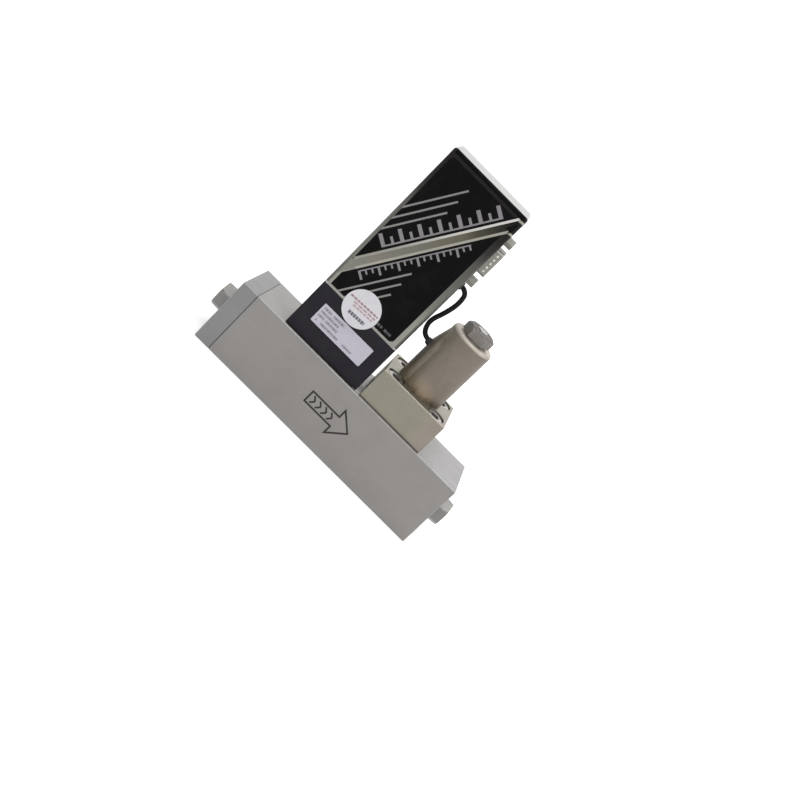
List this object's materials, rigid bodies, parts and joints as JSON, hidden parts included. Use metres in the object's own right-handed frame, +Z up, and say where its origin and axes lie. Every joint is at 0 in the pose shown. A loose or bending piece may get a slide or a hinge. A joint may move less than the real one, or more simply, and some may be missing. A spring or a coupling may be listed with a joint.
{
  "type": "mass flow controller",
  "caption": "Gas mass flow controller: steel flow body with hex ports, thermal sensor tower with side connector, and solenoid valve joined by a short lead.",
  "frame": {"origin": "centre of the flow body's bottom face, which is the centre of its four mounting holes", "axes": "+X along the flow from inlet to outlet, +Y from the labelled front to the back, +Z up"},
  "size_m": [0.1536, 0.0382, 0.1504],
  "materials": {
    "body_steel": "fine ground stainless steel",
    "cap_steel": "fine ground stainless steel",
    "fitting_steel": "turned stainless steel",
    "valve_steel": "ground steel, slightly warm",
    "coil_plating": "dull pewter plating",
    "nut_plating": "dull plated steel",
    "magnetic_steel": "turned soft iron",
    "spring_steel": "drawn wire",
    "soft_seat": "moulded",
    "bobbin_plastic": "moulded",
    "copper_wire": "enamelled wire",
    "cover_black": "moulded, fine satin",
    "can_aluminium": "satin",
    "label_foil": "polished foil with black print",
    "plate_foil": "satin foil",
    "sticker_paper": "smooth",
    "bracket_sheet": "mill finish",
    "board_laminate": "lacquered laminate",
    "chip_plastic": "moulded",
    "capacitor_can": "sleeved can",
    "connector_plating": "tin plated",
    "connector_plastic": "moulded",
    "pin_gold": "gold plated",
    "jack_plating": "nickel plated",
    "screw_steel": "stainless",
    "seal_rubber": "moulded",
    "lead_sheath": "satin sheath",
    "bush_rubber": "moulded"
  },
  "bodies": {
    "controller": {"amplifier_chips": "chip_plastic", "base_block": "body_steel", "board_bracket": "bracket_sheet", "board_screws": "screw_steel", "circuit_board": "board_laminate", "coil_base_plate": "magnetic_steel", "coil_bobbin": "bobbin_plastic", "coil_housing": "coil_plating", "coil_lead_bush": "bush_rubber", "coil_nut": "nut_plating", "coil_washer": "nut_plating", "coil_winding": "copper_wire", "connector_insulator": "connector_plastic", "connector_jackscrews": "jack_plating", "connector_nuts": "jack_plating", "connector_pins": "pin_gold", "connector_shell": "connector_plating", "cover_lead_bush": "bush_rubber", "cover_screws": "screw_steel", "data_plate": "plate_foil", "electronics_cover": "can_aluminium", "element_ring": "spring_steel", "end_cap_screws": "screw_steel", "end_cap_seal": "seal_rubber", "fixed_core": "magnetic_steel", "front_label": "label_foil", "guide_tube": "fitting_steel", "guide_tube_seal": "seal_rubber", "inlet_end_cap": "cap_steel", "inlet_fitting": "fitting_steel", "inlet_fitting_seal": "seal_rubber", "inlet_screen": "fitting_steel", "laminar_flow_element": "fitting_steel", "outlet_fitting": "fitting_steel", "outlet_fitting_seal": "seal_rubber", "plunger_spring": "spring_steel", "round_sticker": "sticker_paper", "seat_seal": "seal_rubber", "sensor_block": "fitting_steel", "sensor_cover": "cover_black", "sensor_screws": "screw_steel", "sensor_seals": "seal_rubber", "sensor_tube": "fitting_steel", "sensor_windings": "copper_wire", "smoothing_capacitors": "capacitor_can", "valve_block": "valve_steel", "valve_block_screws": "screw_steel", "valve_lead": "lead_sheath", "valve_port_seal": "seal_rubber", "valve_seat": "fitting_steel"},
    "plunger": {"valve_plunger": "magnetic_steel", "plunger_pad": "soft_seat"}
  },
  "joints": [
    {"name": "plunger_lift", "type": "slide", "parent": "controller", "child": "plunger", "axis": [0, 0, 1], "range_m": [0, 0.0008], "stiffness_N_per_m": 1500, "springref_m": -0.003, "deforming": ["plunger_spring"]}
  ]
}
